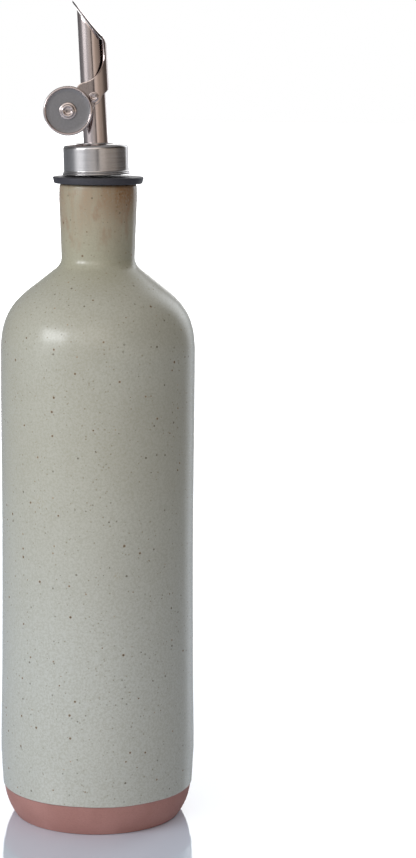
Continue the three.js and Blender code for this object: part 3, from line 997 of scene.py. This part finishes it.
def turned_lines(n):
    """Rings round the cap's axis: the same value all the way round, apart from a slow drift."""
    x, y, z = n.split(n.scaled((1.0, 1.0, 1.0), CAP_LEAN))
    across = n.math("SUBTRACT", x, axis_shift())
    away = n.math("SQRT", n.math("ADD", n.times(across, across), n.times(y, y)))
    joined = n.add("ShaderNodeCombineXYZ")
    for value, socket in zip((away, n.times(across, 0.012), z), joined.inputs):
        n.feed(value, socket)
    return joined.outputs[0]


def axis_shift():
    """Where the cap's axis passes the origin, measured along its own frame's X axis, in metres."""
    return (CAP_BASE[0] * cos(CAP_LEAN) + CAP_BASE[2] * sin(CAP_LEAN)) * MM


def tube_lines(n):
    """Long lines up the tube."""
    return n.scaled((1.0, 1.0, 0.05), CAP_LEAN + SPOUT_LEAN)


def edge_lines(n):
    """Level marks along a cut edge, drawn out a little."""
    return n.scaled((0.4, 0.4, 1.0), CAP_LEAN + SPOUT_LEAN)


def even_grain(n):
    return n.place


def brushed_material():
    n = steel("turned_steel", colour(185, 181, 180), colour(176, 172, 171), roughness=0.19,
              lines=turned_lines, line_scale=5200.0, bump=0.03)
    n.shade("Anisotropic", 0.45)
    n.shade("Anisotropic Rotation", 0.25)
    radial = n.add("ShaderNodeTangent", direction_type="RADIAL", axis="Z")
    n.shade("Tangent", radial.outputs[0])
    return n.material


@cache
def polished_material():
    return steel("polished_steel", colour(193, 181, 178), colour(181, 168, 165), roughness=0.1,
                 lines=tube_lines, line_scale=2600.0, bump=0.06).material


def painted_dark_rim_material():
    """Matt steel painted dark round the lid's rim: a painted dark reflection of the surroundings that the rim
    mirrors at a grazing angle.
    """
    return steel("painted_dark_rim", colour(112, 102, 100), colour(92, 82, 80), roughness=0.38,
                 lines=edge_lines, line_scale=2200.0, bump=0.2).material


@cache
def weight_material():
    return steel("weight_face", colour(141, 139, 140), colour(130, 128, 129), roughness=0.5,
                 lines=even_grain, line_scale=1300.0, bump=0.3).material


def make_floor():
    corners = [(-1, -1), (1, -1), (1, 1), (-1, 1)]
    mesh = bpy.data.meshes.new("floor")
    mesh.from_pydata([(x * FLOOR_REACH, y * FLOOR_REACH, 0) for x, y in corners], [], [(0, 1, 2, 3)])
    floor = bpy.data.objects.new("floor", mesh)
    bpy.context.scene.collection.objects.link(floor)
    floor.location.z = -FLOOR_DROP
    n = MaterialNodes("pale_floor")
    n.shade("Base Color", (0.79, 0.87, 1.0, 1))
    n.shade("Roughness", 0.07)
    n.shade("IOR", 2.2)
    mesh.materials.append(n.material)


def studio_ramp(n, turn, ring):
    """Light round the bottle as a share of the glow's, from its (side, brightness) pairs."""
    ramp = n.add("ShaderNodeValToRGB")
    n.feed(turn, ramp.inputs[0])
    stops = ramp.color_ramp.elements
    while len(stops) > 1:
        stops.remove(stops[0])
    for i, (side, brightness) in enumerate(ring):
        place = side / 360 + 0.5
        stop = stops[0] if i == 0 else stops.new(place)
        stop.position = place
        share = min(1.0, max(0.0, (side - COOL_SIDE) / (WARM_SIDE - COOL_SIDE)))
        warmth = COOL + (WARM - COOL) * share if side < LAST_WARM_SIDE else COOL
        level = brightness / GLOW
        stop.color = (level * (1 + warmth), level, level * (1 - warmth), 1)
    return ramp.outputs[0]


def glow_share(n, x, y, z):
    """1 in the upright strip of glow behind the bottle and 0 outside it."""
    beside = n.math("MULTIPLY_ADD", y, -sin(GLOW_SIDE), n.times(x, cos(GLOW_SIDE)))
    away = n.math("ABSOLUTE", beside)
    narrow = n.spread(away, sin(GLOW_HALF_WIDTH + GLOW_FADE), sin(GLOW_HALF_WIDTH), curve="LINEAR")
    low = n.spread(z, sin(GLOW_TOP + GLOW_FADE), sin(GLOW_TOP), curve="LINEAR")
    behind = n.math("GREATER_THAN", y, 0.0)
    return n.times(n.times(narrow, low), behind)


def studio_light(n, x, y, z):
    """Light that falls on the bottle from a direction, as a share of the glow's."""
    angle = n.math("ARCTAN2", x, n.times(y, -1.0))
    turn = n.math("MULTIPLY_ADD", angle, 1 / (2 * math.pi), 0.5)
    low = studio_ramp(n, turn, LOW_STUDIO)
    high = studio_ramp(n, turn, HIGH_STUDIO)
    round_about = n.mix(n.spread(z, *LOW_TO_HIGH, curve="LINEAR"), low, high)
    overhead = (OVERHEAD / GLOW, OVERHEAD / GLOW, OVERHEAD / GLOW, 1)
    roofed = n.mix(n.spread(z, *HIGH_TO_OVERHEAD, curve="LINEAR"), round_about, overhead)
    return n.mix(glow_share(n, x, y, z), roofed, WHITE)


def make_world():
    """The studio lights the bottle and the floor, while the camera sees plain white."""
    world = bpy.data.worlds.new("studio")
    bpy.context.scene.world = world
    world.use_nodes = True
    world.node_tree.nodes.clear()
    n = Nodes(world.node_tree)
    x, y, z = n.split(n.add("ShaderNodeTexCoord").outputs["Generated"])
    lit = n.add("ShaderNodeBackground")
    n.feed(studio_light(n, x, y, z), lit.inputs["Color"])
    n.feed(GLOW, lit.inputs["Strength"])
    seen = n.add("ShaderNodeBackground")
    n.feed(WHITE, seen.inputs["Color"])
    by_camera = n.add("ShaderNodeLightPath").outputs["Is Camera Ray"]
    chosen = n.add("ShaderNodeMixShader")
    for value, socket in zip((by_camera, lit.outputs[0], seen.outputs[0]), chosen.inputs):
        n.feed(value, socket)
    n.feed(chosen.outputs[0], n.add("ShaderNodeOutputWorld").inputs["Surface"])


def softbox(name, side, elevation, distance, size, radiance):
    """An area light at a side and elevation round the bottle's shoulder, in degrees and metres."""
    towards = Vector((sin(side) * cos(elevation), -cos(side) * cos(elevation), sin(elevation)))
    light = bpy.data.lights.new(name, "AREA")
    light.color = SOFTBOX_COLOUR
    light.shape = "RECTANGLE"
    light.size, light.size_y = size
    light.energy = radiance * math.pi * size[0] * size[1]
    lamp = bpy.data.objects.new(name, light)
    bpy.context.scene.collection.objects.link(lamp)
    lamp.location = Vector(SOFTBOX_AIM) + towards * distance
    lamp.rotation_euler = towards.to_track_quat("Z", "Y").to_euler()


def make_camera():
    forward = Vector((sin(YAW) * cos(PITCH), cos(YAW) * cos(PITCH), -sin(PITCH)))
    level = Vector((cos(YAW), -sin(YAW), 0))
    upright = level.cross(forward)
    right = level * cos(ROLL) + upright * sin(ROLL)
    up = upright * cos(ROLL) - level * sin(ROLL)
    data = bpy.data.cameras.new("camera")
    data.lens = LENS
    data.sensor_width = SENSOR_WIDTH
    data.clip_start = 0.05
    data.clip_end = 50
    camera = bpy.data.objects.new("camera", data)
    bpy.context.scene.collection.objects.link(camera)
    turn = Matrix((right, up, -forward)).transposed().to_4x4()
    camera.matrix_world = Matrix.Translation(EYE) @ turn
    bpy.context.scene.camera = camera


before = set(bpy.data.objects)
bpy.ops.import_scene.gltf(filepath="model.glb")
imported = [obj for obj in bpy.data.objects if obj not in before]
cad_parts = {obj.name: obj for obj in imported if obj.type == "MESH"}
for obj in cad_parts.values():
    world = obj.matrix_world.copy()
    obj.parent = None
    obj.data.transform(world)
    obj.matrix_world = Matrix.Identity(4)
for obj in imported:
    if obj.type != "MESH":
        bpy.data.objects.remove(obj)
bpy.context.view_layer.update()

make_camera()
make_bottle()
make_stopper()
make_cap()
make_spout()
make_flap()
make_weight("near", side=-1)
make_weight("far", side=1)
make_rivets()
make_floor()
make_world()
softbox("key", side=-56, elevation=18, distance=1.0, size=(0.52, 0.27), radiance=8.2)
softbox("fill", side=-32, elevation=20, distance=1.1, size=(0.45, 0.22), radiance=1.2)

bpy.context.scene.view_settings.view_transform = "Standard"
